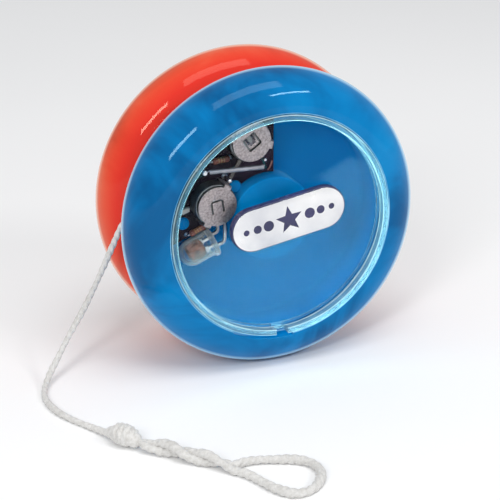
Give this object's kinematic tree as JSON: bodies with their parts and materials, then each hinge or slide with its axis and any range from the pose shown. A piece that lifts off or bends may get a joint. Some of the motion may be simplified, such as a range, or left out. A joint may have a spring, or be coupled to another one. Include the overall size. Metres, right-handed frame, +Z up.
{
  "type": "yo-yo",
  "caption": "Light-up yo-yo: two clear coloured halves on an axle, clear window caps over a light circuit, and a wound string with a knotted finger loop.",
  "frame": {"origin": "middle of the axle, at the middle of the string gap", "axes": "+Y along the axle towards the orange-red rear half, +Z up, +X to the right seen from the blue front half"},
  "size_m": [0.0739, 0.0729, 0.057],
  "materials": {
    "blue_plastic": "clear tinted, polished",
    "orange_plastic": "clear tinted, polished",
    "clear_plastic": "clear polished styrene",
    "dark_plastic": "moulded, polished",
    "silver_foil": "fine-grained foil",
    "board": "lacquered phenolic board",
    "cell_steel": "nickel plated",
    "clip_nickel": "stamped, nickel plated",
    "brass": "stamped strip",
    "spring_steel": "fine drawn wire",
    "resistor_body": "lacquered",
    "lamp_epoxy": "clear epoxy",
    "axle_steel": "turned",
    "sleeve_plastic": "natural acetal",
    "cotton": "twisted cotton string"
  },
  "bodies": {
    "string": {"string_winding": "cotton", "string_tail": "cotton", "string_knot": "cotton", "string_twist": "cotton", "finger_loop": "cotton", "axle_sleeve": "sleeve_plastic"},
    "spool": {"front_shell": "blue_plastic", "front_board": "board", "front_cell_upper": "cell_steel", "front_cell_lower": "cell_steel", "front_clip_upper": "clip_nickel", "front_clip_lower": "clip_nickel", "front_link_strip": "brass", "front_switch_pins": "spring_steel", "front_resistors": "resistor_body", "front_lamp": "lamp_epoxy", "front_lamp_leads": "spring_steel", "rear_shell": "orange_plastic", "rear_board": "board", "rear_cell_upper": "cell_steel", "rear_cell_lower": "cell_steel", "rear_clip_upper": "clip_nickel", "rear_clip_lower": "clip_nickel", "rear_link_strip": "brass", "rear_switch_pins": "spring_steel", "rear_resistors": "resistor_body", "rear_lamp": "lamp_epoxy", "rear_lamp_leads": "spring_steel", "axle": "axle_steel"},
    "front_window": {"front_cap": "clear_plastic", "front_badge_pad": "dark_plastic", "front_badge_foil": "silver_foil"},
    "rear_window": {"rear_cap": "clear_plastic", "rear_badge_pad": "dark_plastic", "rear_badge_foil": "silver_foil"},
    "front_switch": {"front_switch_spring": "spring_steel"},
    "rear_switch": {"rear_switch_spring": "spring_steel"}
  },
  "joints": [
    {"name": "spool_spin", "type": "hinge", "parent": "string", "child": "spool", "pos_m": [0, 0, 0], "axis": [0, 1, 0], "continuous": true},
    {"name": "front_window_pull", "type": "slide", "parent": "spool", "child": "front_window", "axis": [0, -1, 0], "range_m": [0, 0.02]},
    {"name": "rear_window_pull", "type": "slide", "parent": "spool", "child": "rear_window", "axis": [0, 1, 0], "range_m": [0, 0.02]},
    {"name": "front_switch_swing", "type": "hinge", "parent": "spool", "child": "front_switch", "pos_m": [-0.0136, -0.0103, 0.01105], "axis": [0, -1, 0], "range_deg": [0, 3], "stiffness_Nm_per_rad": 0.0001},
    {"name": "rear_switch_swing", "type": "hinge", "parent": "spool", "child": "rear_switch", "pos_m": [0.0136, 0.0103, 0.01105], "axis": [0, 1, 0], "range_deg": [0, 3], "stiffness_Nm_per_rad": 0.0001}
  ]
}
